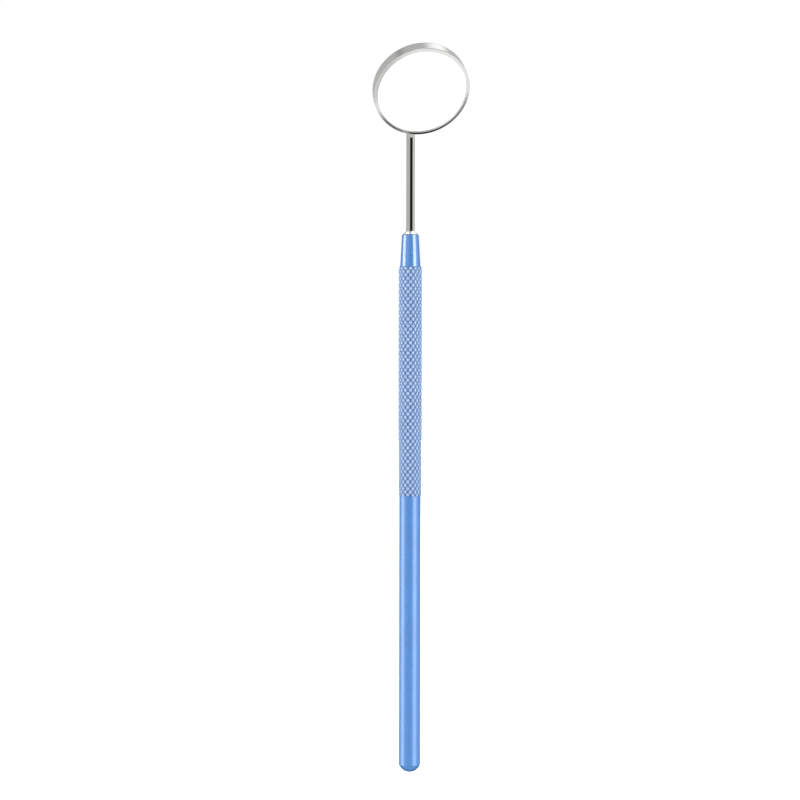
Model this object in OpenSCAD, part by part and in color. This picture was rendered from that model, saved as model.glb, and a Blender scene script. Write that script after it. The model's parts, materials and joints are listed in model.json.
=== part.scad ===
// Mouth mirror: a round mirror in a drawn cup, on a bent stem that screws into a slim knurled handle.
// Millimetres. +Z runs along the handle towards the mirror, and the mirror's face looks to -Y and downwards.
// The origin is on the handle's axis, in the middle of the plain shank, where a clip or a sleeve grips it.

/* [Handle tube] */
// Outer diameter of the plain shank
shank_d = 5.05; // [4.8:0.05:5.2]
// Length of the plain shank
shank_len = 62.1; // [45:0.1:80]
// Diameter over the tops of the knurled grip
grip_d = 5.38; // [5.3:0.02:6]
// Length of the knurled grip
grip_len = 52.8; // [30:0.1:60]
// Bevel at each end of the knurled grip
grip_bevel = 0.15; // [0:0.05:0.3]
// Bore of the tube, which the nose and the tail plug are pressed into
tube_bore = 3.4; // [3.2:0.1:3.8]

/* [Nose] */
// Length of the taper in front of the grip
nose_len = 7.4; // [6:0.1:9]
// Diameter of the taper where it meets the grip
nose_back_d = 4.75; // [4.4:0.05:5]
// Diameter of the taper at its front face
nose_front_d = 3.95; // [3.9:0.05:4.2]
// Length of the spigot inside the tube
nose_spigot = 6; // [4:0.5:10]
// Depth of the threaded hole
hole_depth = 5.6; // [5.4:0.1:6]

/* [Tail] */
// Height of the domed tail below the plain shank
tail_h = 1.7; // [1.4:0.05:2.2]
// Length of the tail plug's spigot inside the tube
tail_spigot = 5; // [3:0.5:8]

/* [Screwed ferrule] */
// Diameter over the thread
thread_d = 2.5; // [2.3:0.1:2.6]
// Advance of the thread in one turn
thread_pitch = 0.45; // [0.4:0.05:0.5]
// Turns of thread that hold the ferrule in the nose
thread_turns = 9.5; // [7:0.5:9.5]
// Height of the ferrule's bevelled head
ferrule_h = 0.7; // [0.6:0.05:1.2]
// Diameter of the ferrule's head where it meets the nose
ferrule_back_d = 3.85; // [3.4:0.05:3.9]
// Diameter of the ferrule's head at its front
ferrule_front_d = 2.3; // [2.1:0.05:2.6]

/* [Stem] */
// Diameter of the stem
stem_d = 2; // [1.8:0.1:2.2]
// Length of the straight stem, from the ferrule to the bend
stem_len = 22.65; // [15:0.05:30]
// Radius of the bend, to the middle of the stem
bend_r = 3; // [2.5:0.1:4]
// Length of the seat that lies on the back of the cup
seat_len = 4.6; // [3.5:0.1:6]
// Diameter of the seat, which is ground a little under the stem's
seat_d = 1.94; // [1.7:0.02:1.96]
// How deep the seat is flattened against the cup
seat_flat = 0.2; // [0.1:0.05:0.4]
// Diameter of the stem's turned end inside the ferrule
tenon_d = 1.4; // [1.2:0.05:1.45]
// Length of the stem's turned end inside the ferrule
tenon_len = 3.2; // [2:0.1:3.6]

/* [Mirror] */
// Outer diameter of the cup
mirror_d = 22; // [20:0.1:24]
// Depth of the cup from its back to its front lip
cup_depth = 3.6; // [3:0.1:4.2]
// Angle between the mirror's face and the handle's axis
face_tilt = 37; // [30:1:45]
// Thickness of the cup's sheet
cup_sheet = 0.45; // [0.35:0.05:0.5]
// Outer radius between the cup's back and its wall
cup_round = 0.9; // [0.6:0.1:1.2]
// Radius of the front lip's outer edge
lip_round = 0.2; // [0.1:0.05:0.25]
// Width of the lip that holds the glass
lip_w = 0.6; // [0.5:0.05:0.7]
// Thickness of the lip over the glass
lip_t = 0.3; // [0.25:0.05:0.35]
// Thickness of the glass
glass_t = 1.6; // [1.2:0.1:1.8]

/* [Hidden] */
$fn = 96;

eps = 0.01;            // overshoot of a cutting tool
face_gap = 0.02;       // gap between faces that turn on each other
thread_gap = 0.05;     // radial gap between the plain stud and the plain hole that stand in for the thread
tenon_gap = 0.02;      // radial gap between the stem's turned end and the ferrule's bore
glass_gap = 0.05;      // radial gap between the glass and the cup's wall
cement_w = 0.3;        // width of the cement around the pad

grip_z = shank_len / 2;
nose_z = grip_z + grip_len;
nose_front_z = nose_z + nose_len;
ferrule_z = nose_front_z + face_gap;
ferrule_front_z = ferrule_z + ferrule_h;
stem_z = ferrule_front_z + face_gap;
bend_z = stem_z + stem_len;

dome_r = (shank_d * shank_d / 4 + tail_h * tail_h) / (2 * tail_h);

stud_len = thread_pitch * thread_turns + 0.6;
stud_bevel = 0.3;
stud_neck_d = thread_d - 0.6;
stud_neck_len = 0.4;
hole_r = thread_d / 2 + thread_gap;

stem_r = stem_d / 2;
seat_r = seat_d / 2;
seat_bevel = 0.4;
seat_root = 0.1;       // how far the seat's ground end reaches into the bend
cup_r = mirror_d / 2;
pad_t = cup_depth - cup_sheet - lip_t - glass_t;
pad_r = cup_r - cup_sheet - cement_w;
glass_r = cup_r - cup_sheet - glass_gap;

// Puts a shape on the stem's seat: its +Z runs along the seat, away from the bend.
module on_seat() {
    translate([0, -bend_r, bend_z])
        rotate([face_tilt, 0, 0])
            translate([0, bend_r, 0])
                children();
}

// Puts a shape on the mirror: its +Z is the way the face looks, and z = 0 is the front of the lip.
module on_mirror() {
    on_seat()
        translate([0, seat_flat - stem_r - cup_depth, cup_r])
            rotate([90, 0, 0])
                children();
}

// Half of the tail's outline: a dome from the shank's edge at z = 0 down to z = -tail_h.
module tail_outline() {
    intersection() {
        translate([0, dome_r - tail_h])
            circle(dome_r);
        translate([0, -tail_h])
            square([shank_d / 2, tail_h]);
    }
}

// Half of the cup's outline, closed on its axis.
module cup_outline() {
    translate([0, cup_round - cup_depth])
        square([cup_r, cup_depth - cup_round - lip_round]);
    translate([0, -cup_depth])
        square([cup_r - cup_round, cup_depth]);
    translate([cup_r - cup_round, -lip_round - eps])
        square([cup_round - lip_round, lip_round + eps]);
    translate([cup_r - cup_round, cup_round - cup_depth])
        circle(cup_round);
    translate([cup_r - lip_round, -lip_round])
        circle(lip_round);
}

// The straight end of the stem that lies on the cup, before it is flattened.
module seat_rod() {
    translate([0, 0, -seat_root])
        cylinder(h = seat_len - seat_bevel + seat_root, r = seat_r);
    translate([0, 0, seat_len - seat_bevel])
        cylinder(h = seat_bevel, r1 = seat_r, r2 = seat_r - seat_bevel);
}

// Tube with the plain shank and the grip. The grip is drawn at the height of its knurl's tops.
module handle_tube() {
    color("cornflowerblue")
        difference() {
            union() {
                translate([0, 0, -shank_len / 2])
                    cylinder(h = shank_len, d = shank_d);
                translate([0, 0, grip_z])
                    cylinder(h = grip_bevel, d1 = grip_d - 2 * grip_bevel, d2 = grip_d);
                translate([0, 0, grip_z + grip_bevel])
                    cylinder(h = grip_len - 2 * grip_bevel, d = grip_d);
                translate([0, 0, nose_z - grip_bevel])
                    cylinder(h = grip_bevel, d1 = grip_d, d2 = grip_d - 2 * grip_bevel);
            }
            translate([0, 0, -shank_len / 2 - eps])
                cylinder(h = shank_len + grip_len + 2 * eps, d = tube_bore);
        }
}

// Turned taper, with a spigot pressed into the tube and the hole for the ferrule's stud.
module handle_nose() {
    color("steelblue")
        difference() {
            union() {
                translate([0, 0, nose_z])
                    cylinder(h = nose_len, d1 = nose_back_d, d2 = nose_front_d);
                translate([0, 0, nose_z - nose_spigot])
                    cylinder(h = nose_spigot, d = tube_bore);
            }
            translate([0, 0, nose_front_z - hole_depth])
                cylinder(h = hole_depth + eps, r = hole_r);
            translate([0, 0, nose_front_z - hole_depth - hole_r / tan(59)])
                cylinder(h = hole_r / tan(59), r1 = 0, r2 = hole_r);
        }
}

// Turned end with a spigot pressed into the tube.
module tail_plug() {
    color("steelblue") {
        translate([0, 0, -shank_len / 2])
            rotate_extrude()
                tail_outline();
        translate([0, 0, -shank_len / 2])
            cylinder(h = tail_spigot, d = tube_bore);
    }
}

// Bevelled ring on the front of the nose, in one piece with the stud, and bored for the stem.
module threaded_ferrule() {
    color("gainsboro")
        difference() {
            union() {
                translate([0, 0, ferrule_z])
                    cylinder(h = ferrule_h, d1 = ferrule_back_d, d2 = ferrule_front_d);
                translate([0, 0, ferrule_z - stud_neck_len])
                    cylinder(h = stud_neck_len, d = stud_neck_d);
                translate([0, 0, ferrule_z - stud_len + stud_bevel])
                    cylinder(h = stud_len - stud_bevel - stud_neck_len, d = thread_d);
                translate([0, 0, ferrule_z - stud_len])
                    cylinder(h = stud_bevel, d1 = thread_d - 2 * stud_bevel, d2 = thread_d);
            }
            translate([0, 0, stem_z - face_gap - tenon_len - face_gap])
                cylinder(h = tenon_len + face_gap + eps, r = tenon_d / 2 + tenon_gap);
        }
}

// Stem with its turned end, its bend and its seat, which is flattened where it lies on the cup.
module stem() {
    flat_start = 0.3;
    color("silver") {
        translate([0, 0, stem_z - face_gap - tenon_len])
            cylinder(h = tenon_len + face_gap, d = tenon_d);
        translate([0, 0, stem_z])
            cylinder(h = stem_len, r = stem_r);
        translate([0, -bend_r, bend_z])
            rotate([90, 0, 90])
                rotate_extrude(angle = face_tilt)
                    translate([bend_r, 0])
                        circle(stem_r);
        on_seat()
            difference() {
                seat_rod();
                translate([-stem_d, -stem_d, flat_start])
                    cube([2 * stem_d, stem_d - seat_r + seat_flat, seat_len]);
            }
    }
}

// Apron of brazing around the seat, on the back of the cup.
module seat_braze() {
    apron_w = 3.2;
    apron_len = 3.2;
    apron_t = 0.45;
    color("lightgray")
        on_seat()
            difference() {
                translate([0, seat_flat - seat_r, cup_round])
                    rotate([-90, 0, 0]) {
                        translate([-apron_w / 2, -apron_len, 0])
                            cube([apron_w, apron_len, apron_t]);
                        translate([0, -apron_len, 0])
                            cylinder(h = apron_t, d = apron_w);
                    }
                seat_rod();
            }
}

// Shallow cup with its lip rolled over the edge of the glass.
module mirror_cup() {
    color("silver")
        on_mirror()
            difference() {
                rotate_extrude()
                    cup_outline();
                translate([0, 0, cup_sheet - cup_depth])
                    cylinder(h = cup_depth - cup_sheet - lip_t, r = cup_r - cup_sheet);
                translate([0, 0, -lip_t - eps])
                    cylinder(h = lip_t + 2 * eps, r = cup_r - lip_w);
            }
}

// Round glass with its mirror coating.
module mirror_glass() {
    color("aliceblue")
        on_mirror()
            translate([0, 0, -lip_t - glass_t])
                cylinder(h = glass_t, r = glass_r);
}

// Soft pad that holds the glass against the lip.
module backing_pad() {
    color("dimgray")
        on_mirror()
            translate([0, 0, cup_sheet - cup_depth])
                cylinder(h = pad_t, r = pad_r);
}

// Cement around the pad, which bonds the glass to the cup and keeps water out.
module cement_ring() {
    color("ivory")
        on_mirror()
            translate([0, 0, cup_sheet - cup_depth])
                difference() {
                    cylinder(h = pad_t, r = pad_r + cement_w);
                    translate([0, 0, -eps])
                        cylinder(h = pad_t + 2 * eps, r = pad_r);
                }
}

handle_tube();
handle_nose();
tail_plug();
threaded_ferrule();
stem();
seat_braze();
mirror_cup();
mirror_glass();
backing_pad();
cement_ring();
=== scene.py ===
"""Looks of a mouth mirror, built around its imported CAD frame.

The blue handle, the screwed ferrule and the mirror head are each a class that holds its sizes, builds its
meshes and dresses them in its finishes. Sizes are in millimetres and turn to metres where a mesh is made.
"""
import json
import logging
import math
from dataclasses import dataclass, field
from enum import Enum
from typing import Sequence

import bmesh
import bpy
import numpy as np
from mathutils import Matrix, Vector


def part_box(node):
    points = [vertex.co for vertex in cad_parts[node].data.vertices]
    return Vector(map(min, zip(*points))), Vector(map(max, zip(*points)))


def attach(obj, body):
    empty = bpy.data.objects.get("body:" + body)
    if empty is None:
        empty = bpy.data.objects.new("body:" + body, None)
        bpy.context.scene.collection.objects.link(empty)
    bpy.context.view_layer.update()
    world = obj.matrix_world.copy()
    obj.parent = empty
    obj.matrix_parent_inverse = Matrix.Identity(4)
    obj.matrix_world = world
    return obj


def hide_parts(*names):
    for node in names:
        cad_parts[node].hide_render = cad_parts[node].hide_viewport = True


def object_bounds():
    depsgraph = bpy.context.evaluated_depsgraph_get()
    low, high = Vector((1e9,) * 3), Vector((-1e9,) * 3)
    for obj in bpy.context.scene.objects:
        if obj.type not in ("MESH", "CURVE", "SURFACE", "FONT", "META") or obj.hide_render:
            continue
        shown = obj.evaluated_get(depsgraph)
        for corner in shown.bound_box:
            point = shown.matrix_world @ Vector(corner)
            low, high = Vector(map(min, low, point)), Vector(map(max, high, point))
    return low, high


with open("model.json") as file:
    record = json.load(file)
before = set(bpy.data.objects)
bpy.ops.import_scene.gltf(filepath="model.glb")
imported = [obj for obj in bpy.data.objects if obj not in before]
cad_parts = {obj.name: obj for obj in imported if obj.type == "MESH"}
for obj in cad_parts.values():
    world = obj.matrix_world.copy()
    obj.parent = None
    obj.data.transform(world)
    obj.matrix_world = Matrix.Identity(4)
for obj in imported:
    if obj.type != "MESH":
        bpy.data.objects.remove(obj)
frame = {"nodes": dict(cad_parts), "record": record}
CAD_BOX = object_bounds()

LOG = logging.getLogger("mouth_mirror")
MM = 0.001
FULL_TURN = 2 * math.pi
# Lengths in millimetres: how far a holding point lies from a corner, and what counts as touching.
HOLD = 0.02
TOUCH = 0.001

Point = tuple[float, float]
Corner = tuple[float, float, float]


# ---------------------------------------------------------------------------------------------------------
# Meshes
# ---------------------------------------------------------------------------------------------------------


class Ends(Enum):
    """How a skin of rings is closed at its first and last ring."""

    LOOP = "the last ring joins the first, as on a tube with a bore"
    POLES = "each end closes on a point of the axis"


def rounded(corners: Sequence[Corner], steps: int = 5, hold: float = HOLD) -> list[Point]:
    """Walks an open outline and rounds each corner off with an arc.

    A point is added close to both ends of every long stretch, so that smooth shading bends only at the
    corners and the stretch between them stays true.

    Args:
        corners: radius, height and rounding radius of each corner, in millimetres.
        steps: stretches in each rounding.
        hold: distance of the added points from the ends, in millimetres.

    Returns:
        The outline's points, in order.
    """
    points: list[Point] = []
    count = len(corners)
    for i, (x, y, rounding) in enumerate(corners):
        if i in (0, count - 1) or rounding <= 0:
            points.append((x, y))
            continue
        here = Vector((x, y))
        before = (Vector(corners[i - 1][:2]) - here).normalized()
        after = (Vector(corners[(i + 1) % count][:2]) - here).normalized()
        half = before.angle(after) / 2
        centre = here + (before + after).normalized() * (rounding / math.sin(half))
        first = here + before * (rounding / math.tan(half)) - centre
        last = here + after * (rounding / math.tan(half)) - centre
        for k in range(steps + 1):
            points.append(tuple(centre + first.slerp(last, k / steps) * rounding))
    held = [points[0]]
    for a, b in zip(points, points[1:]):
        start, stretch = Vector(a), Vector(b) - Vector(a)
        if stretch.length > 4 * hold:
            step = stretch.normalized() * hold
            held += [tuple(start + step), tuple(start + stretch - step)]
        held.append(b)
    return held


def skin(name: str, rings: np.ndarray, ends: Ends, place: Matrix | None = None,
         crease: float = 40.0) -> bpy.types.Object:
    """Joins rings of points into one closed mesh.

    Args:
        name: the piece's name.
        rings: points in millimetres, as rings x points x 3.
        ends: how the first and last ring are closed.
        place: where the piece's own frame lies in the row frame, in metres.
        crease: edges that turn by more than this many degrees stay sharp.

    Returns:
        The new piece, with its place in its mesh.
    """
    count, around = rings.shape[:2]
    points = rings.reshape(-1, 3) * MM
    index = np.arange(count * around).reshape(count, around)
    upper = np.roll(index, -1, axis=0) if ends is Ends.LOOP else index[1:]
    lower = index if ends is Ends.LOOP else index[:-1]
    quads = np.stack([lower, np.roll(lower, -1, 1), np.roll(upper, -1, 1), upper], axis=-1).reshape(-1, 4)
    faces = quads.tolist()
    if ends is Ends.POLES:
        for row, ring in ((index[0], rings[0]), (index[-1], rings[-1])):
            pole = len(points)
            points = np.vstack([points, ring.mean(0) * MM])
            faces += [[int(a), int(b), pole] for a, b in zip(row, np.roll(row, -1))]
    return piece_from(name, points, faces, place, crease)


def piece_from(name: str, points: np.ndarray, faces: list[list[int]], place: Matrix | None,
               crease: float) -> bpy.types.Object:
    """Makes a piece from points in metres and faces, with clean outward normals.

    Args:
        name: the piece's name.
        points: points in metres.
        faces: corner numbers of each face.
        place: where the piece's own frame lies in the row frame, or None.
        crease: edges that turn by more than this many degrees stay sharp.

    Returns:
        The new piece, linked to the scene.
    """
    mesh = bpy.data.meshes.new(name)
    mesh.from_pydata(points.tolist(), [], faces)
    work = bmesh.new()
    work.from_mesh(mesh)
    bmesh.ops.recalc_face_normals(work, faces=work.faces)
    if place is not None:
        work.transform(place)
    work.to_mesh(mesh)
    work.free()
    mesh.shade_smooth()
    mesh.set_sharp_from_angle(angle=math.radians(crease))
    piece = bpy.data.objects.new(name, mesh)
    bpy.context.scene.collection.objects.link(piece)
    return piece


def turned(outline: Sequence[Point], around: int) -> np.ndarray:
    """Turns an outline round the Z axis.

    Args:
        outline: radius and height of each point.
        around: points in a full turn.

    Returns:
        The rings of points, as outline x around x 3.
    """
    angles = np.arange(around) * FULL_TURN / around
    radius, height = np.array(outline, float).T
    x = radius[:, None] * np.cos(angles)
    y = radius[:, None] * np.sin(angles)
    return np.stack([x, y, np.broadcast_to(height[:, None], x.shape)], axis=-1)


def note(piece: bpy.types.Object, name: str, values: np.ndarray) -> None:
    """Stores one number for each vertex under a name that a finish reads."""
    layer = piece.data.attributes.new(name, "FLOAT", "POINT")
    layer.data.foreach_set("value", values.astype(np.float32).ravel())


def settle(piece: bpy.types.Object, body: str, nodes: Sequence[str],
           finish: bpy.types.Material) -> bpy.types.Object:
    """Puts a piece on its body, in place of its CAD nodes, in its finish.

    Args:
        piece: the piece.
        body: the CAD body that it moves with.
        nodes: the CAD nodes that it stands for.
        finish: the material.

    Returns:
        The same piece.
    """
    piece.data.materials.clear()
    piece.data.materials.append(finish)
    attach(piece, body)
    if nodes:
        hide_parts(*nodes)
    LOG.info("%s rides on %s: %d faces", piece.name, body, len(piece.data.polygons))
    return piece


def dress(node: str, finish: bpy.types.Material) -> None:
    """Gives a CAD node that stays as it is its finish.

    Args:
        node: the CAD node.
        finish: the material.
    """
    piece = frame["nodes"][node]
    piece.data.materials.clear()
    piece.data.materials.append(finish)
    LOG.info("%s keeps its CAD shape", node)


# ---------------------------------------------------------------------------------------------------------
# Finishes
# ---------------------------------------------------------------------------------------------------------


def srgb(code: str) -> tuple[float, float, float, float]:
    """Turns an sRGB hex code into a linear colour.

    Args:
        code: the code, such as #5B8FD6.

    Returns:
        The linear red, green and blue, with full alpha.
    """
    channels = [int(code[i:i + 2], 16) / 255 for i in (1, 3, 5)]
    linear = [c / 12.92 if c <= 0.04045 else ((c + 0.055) / 1.055) ** 2.4 for c in channels]
    return (*linear, 1.0)


def per_mm(size: float) -> float:
    """Texture scale, for coordinates in metres, of a pattern whose features are size millimetres apart."""
    return 1 / (size * MM)


def add(tree: bpy.types.NodeTree, kind: str, inputs: dict | None = None,
        **settings: object) -> bpy.types.Node:
    """Adds a node with its settings and links.

    Args:
        tree: the node tree.
        kind: the node's type, without its ShaderNode prefix.
        inputs: for each input's name or number, a value, or another node's output to link.
        **settings: the node's own properties.

    Returns:
        The new node.
    """
    made = tree.nodes.new("ShaderNode" + kind)
    for key, value in settings.items():
        setattr(made, key, value)
    for key, value in (inputs or {}).items():
        if isinstance(value, bpy.types.NodeSocket):
            tree.links.new(value, made.inputs[key])
        else:
            made.inputs[key].default_value = value
    return made


@dataclass(frozen=True)
class Finish:
    """A surface, from a principled shader over a few patterns in the object's own coordinates."""

    name: str

    def make(self) -> bpy.types.Material:
        """Builds the material.

        Returns:
            The new material.
        """
        material = bpy.data.materials.new(self.name)
        material.use_nodes = True
        tree = material.node_tree
        tree.nodes.clear()
        place = add(tree, "TexCoord").outputs["Object"]
        shader = add(tree, "BsdfPrincipled", self.sockets(tree, place))
        add(tree, "OutputMaterial", {"Surface": shader.outputs["BSDF"]})
        return material

    def sockets(self, tree: bpy.types.NodeTree, place: bpy.types.NodeSocket) -> dict:
        """Says what the shader's sockets hold.

        Args:
            tree: the material's node tree.
            place: the object coordinates, in metres.

        Returns:
            A value or an output for each socket's name.
        """
        raise NotImplementedError


@dataclass(frozen=True)
class AnodisedAluminium(Finish):
    """Blue dyed, sealed oxide on aluminium.

    The dyed layer tints the metal under it, and its clear seal adds a whiter gloss on top. Satin pieces were
    blasted before the bath, which leaves a fine grain and a soft gloss. Turned pieces keep a brighter skin
    with crisp streaks of light. Grain and cloud are the spacings of their patterns in millimetres.
    """

    dye: str = "#3376B8"
    dye_pale: str = "#4184C4"
    # Painted shade for the grooves of the knurl.
    groove_shade: str = "#274266"
    # Pale crest colour: wear on the knurl's tops, partly a painted highlight.
    bare_and_highlit: str = "#9FB2CE"
    metallic: float = 0.8
    seal_ior: float = 1.7
    grain: float = 0.3
    cloud: float = 6.0
    ground_roughness: float = 0.75
    roughness_spread: float = 0.04
    seal_roughness: float = 0.34
    seal_weight: float = 1.0
    grain_height: float = 0.006

    def sockets(self, tree: bpy.types.NodeTree, place: bpy.types.NodeSocket) -> dict:
        """Says what the shader's sockets hold.

        Args:
            tree: the material's node tree.
            place: the object coordinates, in metres.

        Returns:
            A value or an output for each socket's name.
        """
        grain = add(tree, "TexNoise", {"Vector": place, "Scale": per_mm(self.grain), "Detail": 3.0,
                                       "Roughness": 0.6})
        cloud = add(tree, "TexNoise", {"Vector": place, "Scale": per_mm(self.cloud), "Detail": 2.0})
        tone = add(tree, "MapRange", {"Value": grain.outputs["Fac"], "From Min": 0.35, "From Max": 0.7})
        colour = add(tree, "Mix", {0: tone.outputs["Result"], 6: srgb(self.dye), 7: srgb(self.dye_pale)},
                     data_type="RGBA")
        # Painted shade: the grooves of the knurl are mixed towards a darker blue, standing for the shade that
        # falls in them.
        groove = add(tree, "Attribute", attribute_name="groove")
        groove_shade_mask = add(tree, "MapRange", {"Value": groove.outputs["Fac"], "From Min": 0.28, "From Max": 0.85})
        colour = add(tree, "Mix", {0: groove_shade_mask.outputs["Result"], 6: colour.outputs[2], 7: srgb(self.groove_shade)},
                     data_type="RGBA")
        # Wear and painted highlight: the knurl's tops are mixed towards a pale grey-blue, partly for dye
        # rubbed off them and partly for the highlights they catch.
        crest = add(tree, "Attribute", attribute_name="crest")
        wear_and_highlight_mask = add(tree, "MapRange", {"Value": crest.outputs["Fac"], "From Min": 0.45, "From Max": 0.95,
                                      "To Max": 0.9})
        colour = add(tree, "Mix", {0: wear_and_highlight_mask.outputs["Result"], 6: colour.outputs[2], 7: srgb(self.bare_and_highlit)},
                     data_type="RGBA")
        rough = add(tree, "MapRange", {"Value": cloud.outputs["Fac"], "From Min": 0.3, "From Max": 0.7,
                                       "To Min": self.ground_roughness - self.roughness_spread,
                                       "To Max": self.ground_roughness + self.roughness_spread})
        bump = add(tree, "Bump", {"Height": grain.outputs["Fac"], "Strength": 0.5,
                                  "Distance": self.grain_height * MM})
        return {"Base Color": colour.outputs[2], "Metallic": self.metallic,
                "Roughness": rough.outputs["Result"], "Normal": bump.outputs["Normal"],
                "Coat Weight": self.seal_weight, "Coat Roughness": self.seal_roughness,
                "Coat IOR": self.seal_ior}


@dataclass(frozen=True)
class SteelFinish(Finish):
    """Stainless steel that was turned, drawn or polished.

    Each way leaves faint lines, which stretch the highlights across them, and smears a few millimetres wide,
    where the gloss changes a little. Line and smear are their spacings in millimetres.
    """

    colour: str = "#C9C9C6"
    roughness: float = 0.08
    line: float = 0.05
    smear: float = 3.0
    stretch: tuple[float, float, float] = (1.0, 1.0, 0.02)
    line_height: float = 0.001
    turn: tuple[float, float, float] = (0.0, 0.0, 0.0)

    def sockets(self, tree: bpy.types.NodeTree, place: bpy.types.NodeSocket) -> dict:
        """Says what the shader's sockets hold.

        Args:
            tree: the material's node tree.
            place: the object coordinates, in metres.

        Returns:
            A value or an output for each socket's name.
        """
        mapped = add(tree, "Mapping", {"Vector": place, "Rotation": self.turn, "Scale": self.stretch})
        lines = add(tree, "TexNoise", {"Vector": mapped.outputs["Vector"], "Scale": per_mm(self.line),
                                       "Detail": 2.0})
        smear = add(tree, "TexNoise", {"Vector": place, "Scale": per_mm(self.smear), "Detail": 3.0})
        rough = add(tree, "MapRange", {"Value": smear.outputs["Fac"], "From Min": 0.3, "From Max": 0.7,
                                       "To Min": self.roughness * 0.8, "To Max": self.roughness * 1.25})
        bump = add(tree, "Bump", {"Height": lines.outputs["Fac"], "Strength": 0.4,
                                  "Distance": self.line_height * MM})
        return {"Base Color": srgb(self.colour), "Metallic": 1.0, "Roughness": rough.outputs["Result"],
                "Normal": bump.outputs["Normal"]}


@dataclass(frozen=True)
class MirrorCoating(Finish):
    """Bright metal coating on ground glass: a clean reflection with the faintest haze from wiping."""

    colour: str = "#FAFBFB"
    wipe: float = 4.0

    def sockets(self, tree: bpy.types.NodeTree, place: bpy.types.NodeSocket) -> dict:
        """Says what the shader's sockets hold.

        Args:
            tree: the material's node tree.
            place: the object coordinates, in metres.

        Returns:
            A value or an output for each socket's name.
        """
        haze = add(tree, "TexNoise", {"Vector": place, "Scale": per_mm(self.wipe), "Detail": 4.0})
        rough = add(tree, "MapRange", {"Value": haze.outputs["Fac"], "From Min": 0.45, "From Max": 0.8,
                                       "To Min": 0.004, "To Max": 0.03})
        return {"Base Color": srgb(self.colour), "Metallic": 1.0, "Roughness": rough.outputs["Result"]}


@dataclass(frozen=True)
class DullFilling(Finish):
    """Cured or pressed filling, such as a rubber pad or cement: matt, with a coarse grain."""

    colour: str = "#3A3A3A"
    pale: str = "#4A4A4A"
    grain: float = 0.3
    grain_height: float = 0.02

    def sockets(self, tree: bpy.types.NodeTree, place: bpy.types.NodeSocket) -> dict:
        """Says what the shader's sockets hold.

        Args:
            tree: the material's node tree.
            place: the object coordinates, in metres.

        Returns:
            A value or an output for each socket's name.
        """
        grain = add(tree, "TexNoise", {"Vector": place, "Scale": per_mm(self.grain), "Detail": 4.0})
        colour = add(tree, "Mix", {0: grain.outputs["Fac"], 6: srgb(self.colour), 7: srgb(self.pale)},
                     data_type="RGBA")
        bump = add(tree, "Bump", {"Height": grain.outputs["Fac"], "Strength": 0.5,
                                  "Distance": self.grain_height * MM})
        return {"Base Color": colour.outputs[2], "Roughness": 0.85, "Normal": bump.outputs["Normal"]}


# ---------------------------------------------------------------------------------------------------------
# Handle
# ---------------------------------------------------------------------------------------------------------


@dataclass
class DiamondKnurl:
    """Two crossing families of rolled grooves, which leave rows of raised diamonds."""

    starts: int = 14
    period: float = 1.56
    depth: float = 0.25
    groove: float = 0.36
    crown: float = 0.06

    def carve(self, angle: np.ndarray, height: np.ndarray) -> tuple[np.ndarray, np.ndarray]:
        """Works out how deep the knurl is at each point.

        Args:
            angle: angles round the axis, in radians.
            height: heights along the axis, in millimetres.

        Returns:
            The depth under the tops, in millimetres, and how far each point lies in the grooves: 0 on a top,
            0.5 in one groove and 1 where two cross.
        """
        turns = self.starts * angle / FULL_TURN
        climb = height / self.period
        to_rising = np.abs((turns + climb + 0.5) % 1.0 - 0.5)
        to_falling = np.abs((turns - climb + 0.5) % 1.0 - 0.5)
        rising = 0.5 + 0.5 * np.cos(math.pi * np.clip(to_rising / self.groove, 0, 1))
        falling = 0.5 + 0.5 * np.cos(math.pi * np.clip(to_falling / self.groove, 0, 1))
        crown = self.crown * ((0.5 - to_rising) ** 2 + (0.5 - to_falling) ** 2) * 2
        return np.maximum(rising, falling) * (self.depth - self.crown) + crown, (rising + falling) / 2


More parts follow.
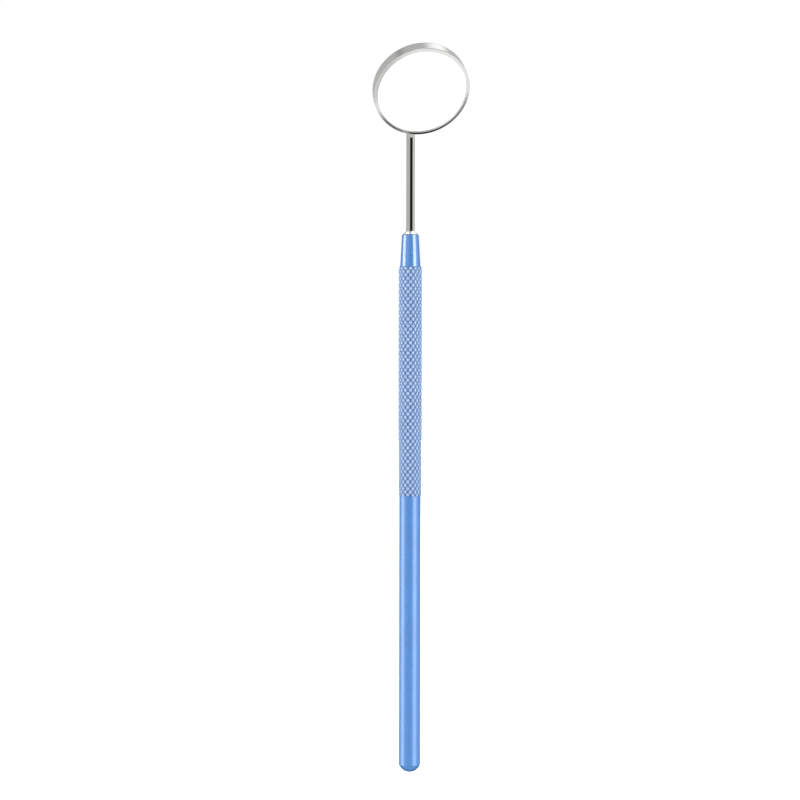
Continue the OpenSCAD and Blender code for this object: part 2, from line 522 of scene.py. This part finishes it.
@dataclass
class Handle:
    """Blue handle: knurled tube, turned nose and tail plug."""

    body: str = "handle"
    bore: float = 3.4
    grip_bevel: float = 0.2
    knurl_run_in: float = 0.15
    nose_front_d: float = 3.95
    nose_back_round: float = 0.04
    nose_front_round: float = 0.16
    nose_spigot: float = 6.0
    hole_d: float = 2.6
    hole_depth: float = 5.6
    hole_mouth: tuple[float, float] = (0.08, 0.12)
    drill_point: float = 0.78
    tail_bevel: float = 0.06
    tail_spigot: float = 5.0
    edge: float = 0.06
    dome_steps: int = 16
    around: int = 14 * 14
    rows_per_period: int = 14
    knurl: DiamondKnurl = field(default_factory=DiamondKnurl)

    def __post_init__(self) -> None:
        """Reads the handle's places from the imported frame."""
        mount = frame["record"]["mounts"][0]["dims"]
        low, high = (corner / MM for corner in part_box("handle_tube"))
        self.shank_r = mount["r_mm"]
        self.shank_len = mount["length_mm"]
        self.tail_z = low.z
        self.grip_z = low.z + self.shank_len
        self.nose_z = high.z
        self.grip_r = high.x
        nose_low, nose_high = (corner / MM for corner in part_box("handle_nose"))
        self.nose_back_r = nose_high.x
        self.nose_front_z = nose_high.z
        self.tip_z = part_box("tail_plug")[0].z / MM

    def build(self) -> list[bpy.types.Object]:
        """Builds and dresses the handle's three pieces.

        Returns:
            The pieces.
        """
        satin = AnodisedAluminium("satin_blue_anodised_aluminium").make()
        bright = AnodisedAluminium("turned_blue_anodised_aluminium", dye="#4A7EBA", dye_pale="#588BC7",
                                   ground_roughness=0.72, seal_roughness=0.13, seal_ior=1.9,
                                   grain_height=0.0003).make()
        return [settle(self.tube(), self.body, ["handle_tube"], satin),
                settle(self.nose(), self.body, ["handle_nose"], bright),
                settle(self.tail(), self.body, ["tail_plug"], satin)]

    def tube(self) -> bpy.types.Object:
        """Builds the tube, with the knurl cut into its grip.

        Returns:
            The piece.
        """
        bore_r = self.bore / 2
        e = self.edge
        below = rounded([(bore_r, self.grip_z, 0), (bore_r, self.tail_z, e), (self.shank_r, self.tail_z, e),
                         (self.shank_r, self.grip_z - HOLD, 0)])[1:]
        knurl_end = self.nose_z - self.grip_bevel
        above = rounded([(self.grip_r, knurl_end, 0), (self.grip_r - self.grip_bevel, self.nose_z, 0),
                         (bore_r, self.nose_z, e), (bore_r, self.grip_z, 0)])
        rows = round((self.nose_z - self.grip_z) / self.knurl.period * self.rows_per_period)
        heights = np.linspace(self.grip_z, knurl_end, rows)[:-1]
        grip = [(self.grip_r, z) for z in heights]
        outline = below + grip + above
        rings = turned(outline, self.around)
        radius, height = np.array(outline).T
        angles = np.arange(self.around) * FULL_TURN / self.around
        depth, groove = self.knurl.carve(angles[None, :], height[:, None])
        cut = ((radius > self.shank_r + TOUCH) & (height >= self.grip_z))[:, None]
        run_in = np.clip((height - self.grip_z) / self.knurl_run_in, 0, 1)[:, None]
        carved = np.minimum(self.grip_r - run_in * depth, radius[:, None])
        new_radius = np.where(cut, carved, radius[:, None])
        rings[..., :2] *= (new_radius / radius[:, None])[..., None]
        piece = skin("knurled_tube", rings, Ends.LOOP, crease=60.0)
        # The crest share lightens the diamonds' tops: partly wear, partly a painted highlight.
        note(piece, "crest", np.where(cut, 1 - groove, 0.0))
        # The groove share is the mask of the painted shade in the knurl's grooves.
        note(piece, "groove", np.where(cut, groove, 0.0))
        return piece

    def nose(self) -> bpy.types.Object:
        """Builds the turned nose, with its spigot and the hole for the stud.

        Returns:
            The piece.
        """
        e = self.edge
        spigot_z = self.nose_z - self.nose_spigot
        floor_z = self.nose_front_z - self.hole_depth
        hole_r = self.hole_d / 2
        mouth_w, mouth_h = self.hole_mouth
        outline = rounded([(0, spigot_z, 0), (self.bore / 2, spigot_z, e), (self.bore / 2, self.nose_z, 0),
                           (self.nose_back_r, self.nose_z, self.nose_back_round),
                           (self.nose_front_d / 2, self.nose_front_z, self.nose_front_round),
                           (hole_r + mouth_w, self.nose_front_z, HOLD),
                           (hole_r, self.nose_front_z - mouth_h, HOLD),
                           (hole_r, floor_z, 0), (0, floor_z - self.drill_point, 0)])[1:-1]
        return skin("turned_nose", turned(outline, 96), Ends.POLES)

    def tail(self) -> bpy.types.Object:
        """Builds the tail plug: a low dome with a bevelled edge, and its spigot.

        Returns:
            The piece.
        """
        base_r = self.shank_r - self.tail_bevel
        height = self.tail_z - self.tip_z - self.tail_bevel
        dome_r = (base_r ** 2 + height ** 2) / (2 * height)
        tip = [(dome_r * math.sin(a), self.tip_z + dome_r * (1 - math.cos(a)))
               for a in np.linspace(0, math.asin(base_r / dome_r), self.dome_steps)]
        rest = rounded([(*tip[-1], 0), (self.shank_r, self.tail_z, HOLD), (self.bore / 2, self.tail_z, 0),
                        (self.bore / 2, self.tail_z + self.tail_spigot, self.edge),
                        (0, self.tail_z + self.tail_spigot, 0)])
        return skin("domed_tail", turned(tip[1:-1] + rest[:-1], 96), Ends.POLES)


# ---------------------------------------------------------------------------------------------------------
# Ferrule
# ---------------------------------------------------------------------------------------------------------


@dataclass
class Ferrule:
    """Bevelled ring with the screwed stud, bored for the stem's turned end."""

    body: str = "ferrule"
    head_h: float = 0.7
    front_d: float = 2.3
    bore_d: float = 1.44
    pitch: float = 0.45
    thread_d: float = 2.5
    thread_depth: float = 0.26
    thread_fade: float = 0.2
    flank_steepness: float = 2.5
    crest_share: float = 0.25
    stud_bevel: float = 0.3
    neck_depth: float = 0.3
    neck_len: float = 0.4
    tip_inset: float = 0.1
    face_gap: float = 0.02
    around: int = 72
    rows_per_turn: int = 12

    def __post_init__(self) -> None:
        """Reads the ferrule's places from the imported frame."""
        low, high = (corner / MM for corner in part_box("threaded_ferrule"))
        self.back_r = high.x
        self.front_z = high.z
        self.shoulder_z = high.z - self.head_h
        self.tip_z = low.z
        self.thread_r = self.thread_d / 2
        self.bore_floor_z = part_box("stem")[0].z / MM - self.face_gap

    def build(self) -> list[bpy.types.Object]:
        """Builds and dresses the ferrule.

        Returns:
            The piece, in a list.
        """
        steel = SteelFinish("turned_stainless_steel", colour="#DADAD8", roughness=0.16, line=0.04,
                            stretch=(0.05, 0.05, 1.0)).make()
        return [settle(self.ferrule(), self.body, ["threaded_ferrule"], steel)]

    def ferrule(self) -> bpy.types.Object:
        """Builds the ring and its threaded stud as one turned piece.

        Returns:
            The piece.
        """
        neck_r = self.thread_r - self.neck_depth
        top = self.shoulder_z - self.neck_len
        bottom = self.tip_z + self.stud_bevel
        rows = round((top - bottom) / self.pitch * self.rows_per_turn)
        stud = [(self.thread_r, z) for z in np.linspace(bottom, top, rows)]
        head = rounded([(neck_r, top, 0), (neck_r, self.shoulder_z, 0.05),
                        (self.back_r, self.shoulder_z, 0.04), (self.front_d / 2, self.front_z, 0.08),
                        (self.bore_d / 2, self.front_z, 0.04), (self.bore_d / 2, self.bore_floor_z, 0),
                        (0, self.bore_floor_z, 0)])[:-1]
        outline = [(neck_r - self.tip_inset, self.tip_z)] + stud + head
        rings = turned(outline, self.around)
        radius, height = np.array(outline).T
        turns = np.arange(self.around) / self.around
        phase = (height[:, None] / self.pitch - turns[None, :]) % 1.0
        flank = np.clip(np.abs(phase - 0.5) * self.flank_steepness - self.crest_share, 0, 1)
        fade = np.clip(np.minimum(height - bottom, top - height) / self.thread_fade, 0, 1)
        on_stud = (np.arange(len(outline)) <= rows) & (np.arange(len(outline)) > 0)
        depth = np.where(on_stud[:, None], flank * self.thread_depth * fade[:, None], 0)
        rings[..., :2] *= (1 - depth / radius[:, None])[..., None]
        return skin("screwed_ferrule", rings, Ends.POLES, crease=50.0)


# ---------------------------------------------------------------------------------------------------------
# Mirror head
# ---------------------------------------------------------------------------------------------------------


@dataclass
class MirrorHead:
    """Bent stem with the cup, its glass and the brazing between them."""

    body: str = "mirror_head"
    tilt: float = 37.0
    bend_r: float = 3.0
    stem_d: float = 2.0
    seat_d: float = 1.94
    seat_flat: float = 0.2
    seat_len: float = 4.6
    tenon_d: float = 1.4
    cup_depth: float = 3.6
    sheet: float = 0.45
    cup_round: float = 0.9
    lip_round: float = 0.15
    lip_slope: float = 20.0
    lip_slope_w: float = 0.7
    lip_w: float = 0.8
    lip_t: float = 0.3
    glass_t: float = 1.6
    stem_gap: float = 0.02
    seat_run_in: float = 0.25
    bend_steps: int = 20
    around: int = 192

    def __post_init__(self) -> None:
        """Reads the head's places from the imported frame, and sets up the seat's and the mirror's frames."""
        self.cup_r = (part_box("mirror_cup")[1].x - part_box("mirror_cup")[0].x) / 2 / MM
        self.glass_r = (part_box("mirror_glass")[1].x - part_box("mirror_glass")[0].x) / 2 / MM
        self.tenon_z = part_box("stem")[0].z / MM
        self.stem_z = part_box("threaded_ferrule")[1].z / MM + self.stem_gap
        slope = math.radians(self.tilt)
        low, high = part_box("mirror_glass")
        look = Vector((0, -math.cos(slope), -math.sin(slope)))
        face = (low + high) / 2 + look * (self.glass_t / 2 + self.lip_t) * MM
        self.on_mirror = Matrix.Translation(face) @ Matrix.Rotation(math.pi / 2 + slope, 4, "X")
        seat_back = self.stem_d / 2 - self.seat_flat + self.cup_depth
        self.on_seat = (self.on_mirror @ Matrix.Rotation(-math.pi / 2, 4, "X")
                        @ Matrix.Translation(Vector((0, seat_back, -self.cup_r)) * MM))
        self.bend_z = self.on_seat.translation.z / MM - self.bend_r * math.sin(slope)

    def build(self) -> list[bpy.types.Object]:
        """Builds and dresses the head's pieces.

        Returns:
            The pieces.
        """
        slope = math.radians(self.tilt)
        polished = SteelFinish("polished_stainless_steel", colour="#D8D8D5", roughness=0.07).make()
        drawn = SteelFinish("drawn_stainless_steel", colour="#CFCFCD", roughness=0.2, line=0.06,
                            stretch=(1.0, 1.0, 0.05), turn=(-math.pi / 2 - slope, 0, 0)).make()
        alloy = SteelFinish("silver_brazing_alloy", colour="#D6D3C8", roughness=0.24, line=0.2,
                            stretch=(1, 1, 1), line_height=0.01).make()
        coating = MirrorCoating("mirror_coated_glass").make()
        dress("backing_pad", DullFilling("pressed_rubber").make())
        dress("cement_ring", DullFilling("cured_cement", "#D9D3C2", "#E6E1D3", 0.2).make())
        return [settle(self.stem(), self.body, ["stem"], polished),
                settle(self.braze(), self.body, ["seat_braze"], alloy),
                settle(self.cup(), self.body, ["mirror_cup"], drawn),
                settle(self.glass(), self.body, ["mirror_glass"], coating)]

    def cup(self) -> bpy.types.Object:
        """Builds the drawn cup, with its lip rolled over the glass.

        Returns:
            The piece.
        """
        inner_r = self.cup_r - self.sheet
        lip_r = self.cup_r - self.lip_w
        floor = self.sheet - self.cup_depth
        lip_drop = self.lip_slope_w * math.tan(math.radians(self.lip_slope))
        outline = rounded([(0, -self.cup_depth, 0), (self.cup_r, -self.cup_depth, self.cup_round),
                           (self.cup_r, -lip_drop, self.lip_round),
                           (self.cup_r - self.lip_slope_w, 0, 0.15),
                           (lip_r, 0, 0.05), (lip_r, -self.lip_t, 0),
                           (inner_r, -self.lip_t, 0), (inner_r, floor, 0.3), (0, floor, 0)],
                          steps=8)[1:-1]
        return skin("drawn_cup", turned(outline, self.around), Ends.POLES, self.on_mirror, crease=50.0)

    def glass(self) -> bpy.types.Object:
        """Builds the round glass, ground off at its edges.

        Returns:
            The piece.
        """
        back = -self.lip_t - self.glass_t
        outline = rounded([(0, back, 0), (self.glass_r, back, 0.15), (self.glass_r, -self.lip_t, 0.1),
                           (0, -self.lip_t, 0)])[1:-1]
        return skin("coated_glass", turned(outline, self.around), Ends.POLES, self.on_mirror, crease=20.0)

    def stem(self) -> bpy.types.Object:
        """Builds the stem: turned end, straight rod, bend and flattened seat.

        Returns:
            The piece.
        """
        rod_r = self.stem_d / 2
        tenon_r = self.tenon_d / 2
        straight = rounded([(0, self.tenon_z, 0), (tenon_r, self.tenon_z, 0.1), (tenon_r, self.stem_z, 0.03),
                            (rod_r, self.stem_z, 0.08), (rod_r, self.bend_z, 0)])[1:]
        rings = [self.section(Matrix.Translation((0, 0, z)), r) for r, z in straight]
        slope = math.radians(self.tilt)
        pivot = Matrix.Translation((0, -self.bend_r, self.bend_z))
        for a in np.linspace(0, slope, self.bend_steps)[1:-1]:
            rings.append(self.section(pivot @ Matrix.Rotation(a, 4, "X")
                                      @ Matrix.Translation((0, self.bend_r, 0)), rod_r))
        seat_r = self.seat_d / 2
        seat = pivot @ Matrix.Rotation(slope, 4, "X") @ Matrix.Translation((0, self.bend_r, 0))
        end = rounded([(rod_r, 0, 0), (seat_r, self.seat_run_in, 0), (seat_r, self.seat_len, 0.35),
                       (0, self.seat_len, 0)], steps=8)[:-1]
        flat_y = self.seat_flat - seat_r
        for r, z in end:
            on_flat = z > self.seat_run_in * 0.8
            rings.append(self.section(seat @ Matrix.Translation((0, 0, z)), r, flat_y if on_flat else None))
        return skin("bent_stem", np.array(rings), Ends.POLES, crease=40.0)

    def section(self, place: Matrix, radius: float, flat_y: float | None = None,
                around: int = 64) -> np.ndarray:
        """Cuts the stem across.

        Args:
            place: the section's frame, in millimetres, with the rod along its Z.
            radius: the rod's radius there.
            flat_y: where the side that lies on the cup is flattened, or None.
            around: points in the section.

        Returns:
            The section's points.
        """
        points = []
        for a in np.arange(around) * FULL_TURN / around:
            y = radius * math.sin(a)
            y = y if flat_y is None else max(y, flat_y)
            points.append(tuple(place @ Vector((radius * math.cos(a), y, 0))))
        return np.array(points)

    def braze(self) -> bpy.types.Object:
        """Builds the brazing: where stem and cup melt into each other, less the stem and the cup.

        Returns:
            The piece.
        """
        step = 0.07
        blend, bite, thin = 0.9, 0.1, 0.02
        reach_r, reach_from, reach_short, squeeze = 1.72, 0.3, 0.9, 1.1
        round_end = 0.4
        low, high = np.array([-2.6, -1.6, -1.6]), np.array([2.6, 2.4, 5.9])
        axes = [np.arange(a, b, step) for a, b in zip(low, high)]
        x, y, z = np.meshgrid(*axes, indexing="ij")
        rod_r, seat_r = self.stem_d / 2, self.seat_d / 2
        # Distance to the rod: the seat's line for z > 0 and the bend's circle below it.
        along = np.clip(z, 0, self.seat_len - round_end)
        to_seat = np.sqrt(x ** 2 + y ** 2 + (z - along) ** 2) - seat_r
        bend = np.sqrt(x ** 2 + (np.hypot(y + self.bend_r, z) - self.bend_r) ** 2) - rod_r
        rod = np.where(z > 0, to_seat, bend)
        # Distance to the cup: a round disc with rounded edges, whose back lies against the flattened seat.
        back = rod_r - self.seat_flat
        radial = np.hypot(x, z - self.cup_r) - (self.cup_r - self.cup_round)
        depth = np.abs(y + back + self.cup_depth / 2) - (self.cup_depth / 2 - self.cup_round)
        cup = (np.minimum(np.maximum(radial, depth), 0)
               + np.hypot(np.maximum(radial, 0), np.maximum(depth, 0)) - self.cup_round)
        # Where both are near, they melt together. The alloy runs no further than its reach round the seat's
        # middle, and bites a little into stem and cup, so that no gap shows.
        near = np.maximum(blend - np.abs(rod - cup), 0) / blend
        joined = np.minimum(rod, cup) - near ** 2 * blend / 4
        middle = np.clip(z, reach_from, self.seat_len - reach_short)
        reach = np.sqrt(x ** 2 + (y * squeeze) ** 2 + (z - middle) ** 2) - reach_r
        alloy = np.maximum.reduce([joined - thin, reach, -(rod + bite), -(cup + bite)])
        points, faces = surface_net(alloy, low, step)
        return piece_from("brazed_fillet", points * MM, faces, self.on_seat, 80.0)


def surface_net(values: np.ndarray, origin: np.ndarray, step: float) -> tuple[np.ndarray, list[list[int]]]:
    """Draws the surface where a field on a grid changes sign.

    Each edge of the grid that crosses the surface gives one face between the four cells round that edge, and
    each cell's point is the mean of the crossings on its edges.

    Args:
        values: the field, negative inside.
        origin: the place of the first grid point.
        step: the grid's spacing.

    Returns:
        The surface's points and its faces.
    """
    inside = values < 0
    cells = tuple(n - 1 for n in values.shape)
    total = np.zeros(cells + (3,))
    count = np.zeros(cells)
    crossings = []
    for axis in range(3):
        near = [slice(None)] * 3
        far = [slice(None)] * 3
        near[axis], far[axis] = slice(None, -1), slice(1, None)
        a, b = values[tuple(near)], values[tuple(far)]
        at = np.argwhere(inside[tuple(near)] != inside[tuple(far)])
        start, stop = a[tuple(at.T)], b[tuple(at.T)]
        spot = at.astype(float)
        spot[:, axis] += start / (start - stop)
        sides = [i for i in range(3) if i != axis]
        around = []
        for u, v in ((0, 0), (1, 0), (1, 1), (0, 1)):
            cell = at.copy()
            cell[:, sides[0]] -= u
            cell[:, sides[1]] -= v
            around.append(cell)
        whole = np.all([np.all((c >= 0) & (c < cells), axis=1) for c in around], axis=0)
        for cell in around:
            np.add.at(total, tuple(cell[whole].T), spot[whole])
            np.add.at(count, tuple(cell[whole].T), 1)
        crossings.append(np.stack([c[whole] for c in around], axis=1))
    used = count > 0
    number = np.full(cells, -1)
    number[used] = np.arange(used.sum())
    points = origin + step * total[used] / count[used][:, None]
    quads = np.concatenate(crossings)
    faces = number[quads[..., 0], quads[..., 1], quads[..., 2]]
    return points, faces.tolist()


# ---------------------------------------------------------------------------------------------------------
# Studio
# ---------------------------------------------------------------------------------------------------------


@dataclass(frozen=True)
class Panel:
    """One soft-edged panel of the tent round the instrument, in degrees from the instrument.

    Side is to the camera's right, and rise is above the horizon.
    """

    side: float
    rise: float
    width: float
    height: float
    level: float
    soft: float = 5.0

    def mask(self, tree: bpy.types.NodeTree, side: bpy.types.NodeSocket,
             rise: bpy.types.NodeSocket) -> bpy.types.NodeSocket:
        """Works out how much of the panel is met in a direction.

        Args:
            tree: the world's node tree.
            side: the direction's side angle, in radians.
            rise: the direction's rise, in radians.

        Returns:
            The share, from 0 to 1.
        """
        shares = []
        for angle, centre, width in ((side, self.side, self.width), (rise, self.rise, self.height)):
            off = add(tree, "Math", {0: angle, 1: math.radians(centre)}, operation="SUBTRACT")
            near = add(tree, "Math", {0: off.outputs[0], 1: math.pi, 2: -math.pi}, operation="WRAP")
            far = add(tree, "Math", {0: near.outputs[0]}, operation="ABSOLUTE")
            edge = add(tree, "MapRange", {"Value": far.outputs[0], "To Min": 1.0, "To Max": 0.0,
                                          "From Min": math.radians(width / 2 - self.soft),
                                          "From Max": math.radians(width / 2 + self.soft)},
                       interpolation_type="SMOOTHSTEP")
            shares.append(edge.outputs[0])
        return add(tree, "Math", {0: shares[0], 1: shares[1]}, operation="MULTIPLY").outputs[0]


class Lit(Enum):
    """Which pieces a soft box is flagged to light."""

    BLUE = "the anodised handle"
    FERRULE = "the ferrule"
    STEEL = "the ferrule, the stem and the mirror"


@dataclass(frozen=True)
class SoftBox:
    """A soft box that looks at the instrument: angles in degrees, size in metres, level as radiance."""

    name: str
    side: float
    rise: float
    width: float
    height: float
    level: float
    onto: Lit


@dataclass
class Studio:
    """Pale floor, soft lights and the camera."""

    azimuth: float = -14.2
    distance: float = 475.0
    frame_width: float = 184.76
    aim: tuple[float, float] = (-2.33, 53.12)
    lean: float = 0.1
    floor_drop: float = 40.0
    sensor: float = 36.0
    tent: float = 0.62
    # Bright panels beside, over and under the instrument, and dark ones behind it, below it and near the
    # lens. The one near the lens draws the dark line along the stem, and those behind and below draw the one
    # under the lip. A later panel covers an earlier one.
    panels: tuple[Panel, ...] = (
        Panel(side=70, rise=10, width=56, height=70, level=0.85),
        Panel(side=180, rise=15, width=140, height=84, level=0.12),
        Panel(side=24, rise=2, width=74, height=46, level=0.015),
        Panel(side=0, rise=-45, width=360, height=84, level=1.3),
        Panel(side=-15, rise=-50, width=60, height=40, level=0.9),
        Panel(side=0, rise=-90, width=360, height=20, level=0.1),
        Panel(side=180, rise=-50, width=160, height=76, level=0.24, soft=8),
        Panel(side=158, rise=-62, width=60, height=52, level=0.01, soft=8),
        Panel(side=57, rise=-69, width=50, height=20, level=1.5),
        Panel(side=0, rise=90, width=360, height=64, level=0.68, soft=3),
        Panel(side=10, rise=52, width=60, height=44, level=1.5),
        Panel(side=147, rise=57, width=36, height=30, level=1.6, soft=8))
    # Two boxes draw the streaks of light along the handle. The others fill from behind and above.
    box_distance: float = 0.6
    boxes: tuple[SoftBox, ...] = (
        SoftBox("left_box", side=-80, rise=0, width=0.4, height=0.6, level=5.2, onto=Lit.BLUE),
        SoftBox("right_box", side=53, rise=0, width=0.4, height=0.6, level=5.6, onto=Lit.BLUE),
        SoftBox("back_box", side=180, rise=0, width=0.8, height=0.6, level=0.9, onto=Lit.BLUE),
        SoftBox("back_left_box", side=-143, rise=20, width=0.75, height=0.94, level=0.54, onto=Lit.STEEL),
        SoftBox("back_right_box", side=143, rise=14, width=0.75, height=0.9, level=0.5, onto=Lit.STEEL),
        SoftBox("top_box", side=180, rise=72, width=0.5, height=0.4, level=1.0, onto=Lit.FERRULE))
    floor_light: float = 7.0

    def build(self, groups: dict[Lit, list[bpy.types.Object]]) -> None:
        """Sets up the floor, the lights and the camera.

        Args:
            groups: the pieces that each kind of soft box lights.
        """
        self.floor()
        self.surroundings()
        for box in self.boxes:
            self.hang(box, groups[box.onto])
        self.camera()
        bpy.context.scene.view_settings.view_transform = "Standard"

    def direction(self, side: float, rise: float) -> Vector:
        """Unit vector towards a place round the object: side is to the camera's right, in degrees."""
        a, e = math.radians(self.azimuth + side), math.radians(rise)
        return Vector((math.sin(a) * math.cos(e), -math.cos(a) * math.cos(e), math.sin(e)))

    def camera(self) -> None:
        """Places the camera level with the instrument's middle."""
        data = bpy.data.cameras.new("camera")
        data.sensor_width = self.sensor
        data.lens = self.sensor * self.distance / self.frame_width
        data.clip_start, data.clip_end = 0.01, 50
        camera = bpy.data.objects.new("camera", data)
        bpy.context.scene.collection.objects.link(camera)
        right = self.direction(90, 0)
        target = (right * self.aim[0] + Vector((0, 0, self.aim[1]))) * MM
        camera.location = target + self.direction(0, 0) * self.distance * MM
        turn = (-self.direction(0, 0)).to_track_quat("-Z", "Y").to_matrix().to_4x4()
        camera.rotation_euler = (turn @ Matrix.Rotation(math.radians(self.lean), 4, "Z")).to_euler()
        bpy.context.scene.camera = camera

    def floor(self) -> None:
        """Lays the plain pale floor under the instrument."""
        work = bmesh.new()
        bmesh.ops.create_circle(work, cap_ends=True, radius=6.0, segments=96)
        mesh = bpy.data.meshes.new("floor")
        work.to_mesh(mesh)
        work.free()
        floor = bpy.data.objects.new("floor", mesh)
        floor.location.z = CAD_BOX[0].z - self.floor_drop * MM
        bpy.context.scene.collection.objects.link(floor)
        matt = bpy.data.materials.new("pale_floor")
        matt.use_nodes = True
        shader = matt.node_tree.nodes["Principled BSDF"]
        shader.inputs["Base Color"].default_value = srgb("#F4F4F4")
        shader.inputs["Roughness"].default_value = 0.9
        mesh.materials.append(matt)
        floor.visible_glossy = False
        data = bpy.data.lights.new("floor_light", "SUN")
        data.energy = self.floor_light
        data.angle = math.radians(120)
        self.flag(bpy.data.objects.new("floor_light", data), [floor])

    def surroundings(self) -> None:
        """Makes the world: white where it is seen, and a soft tent where the instrument reflects it."""
        world = bpy.data.worlds.new("studio")
        bpy.context.scene.world = world
        world.use_nodes = True
        tree = world.node_tree
        tree.nodes.clear()
        way = add(tree, "TexCoord").outputs["Generated"]
        turned_way = add(tree, "Mapping", {"Vector": way, "Rotation": (0, 0, -math.radians(self.azimuth))})
        axes = add(tree, "SeparateXYZ", {0: turned_way.outputs[0]})
        ahead = add(tree, "Math", {0: axes.outputs["Y"], 1: -1.0}, operation="MULTIPLY")
        side = add(tree, "Math", {0: axes.outputs["X"], 1: ahead.outputs[0]}, operation="ARCTAN2")
        rise = add(tree, "Math", {0: axes.outputs["Z"]}, operation="ARCSINE")
        level = self.tent
        for panel in self.panels:
            mask = panel.mask(tree, side.outputs[0], rise.outputs[0])
            level = add(tree, "Mix", {0: mask, 2: level, 3: panel.level}).outputs[0]
        reflected = add(tree, "Background", {"Color": level})
        seen = add(tree, "Background", {"Color": (1, 1, 1, 1)})
        by_eye = add(tree, "LightPath").outputs["Is Camera Ray"]
        mixed = add(tree, "MixShader", {0: by_eye, 1: reflected.outputs[0], 2: seen.outputs[0]})
        add(tree, "OutputWorld", {"Surface": mixed.outputs[0]})

    def hang(self, box: SoftBox, onto: list[bpy.types.Object]) -> None:
        """Hangs one soft box.

        Args:
            box: the soft box.
            onto: the only pieces that it lights.
        """
        data = bpy.data.lights.new(box.name, "AREA")
        data.shape = "RECTANGLE"
        data.size, data.size_y = box.width, box.height
        data.energy = math.pi * box.width * box.height * box.level
        lamp = bpy.data.objects.new(box.name, data)
        centre = (CAD_BOX[0] + CAD_BOX[1]) / 2
        lamp.location = centre + self.direction(box.side, box.rise) * self.box_distance
        lamp.visible_camera = False
        lamp.rotation_euler = (centre - lamp.location).to_track_quat("-Z", "Y").to_euler()
        self.flag(lamp, onto)

    def flag(self, lamp: bpy.types.Object, onto: list[bpy.types.Object]) -> None:
        """Adds a lamp that lights only some pieces.

        Args:
            lamp: the lamp.
            onto: the pieces.
        """
        bpy.context.scene.collection.objects.link(lamp)
        group = bpy.data.collections.new(lamp.name + "_onto")
        for piece in onto:
            group.objects.link(piece)
        lamp.light_linking.receiver_collection = group


def main() -> None:
    """Builds the instrument and the studio."""
    logging.basicConfig(level=logging.INFO, format="%(name)s: %(message)s")
    handle = Handle().build()
    ferrule = Ferrule().build()
    head = MirrorHead().build()
    Studio().build({Lit.BLUE: handle, Lit.FERRULE: ferrule, Lit.STEEL: ferrule + head})


if __name__ == "__main__":
    main()
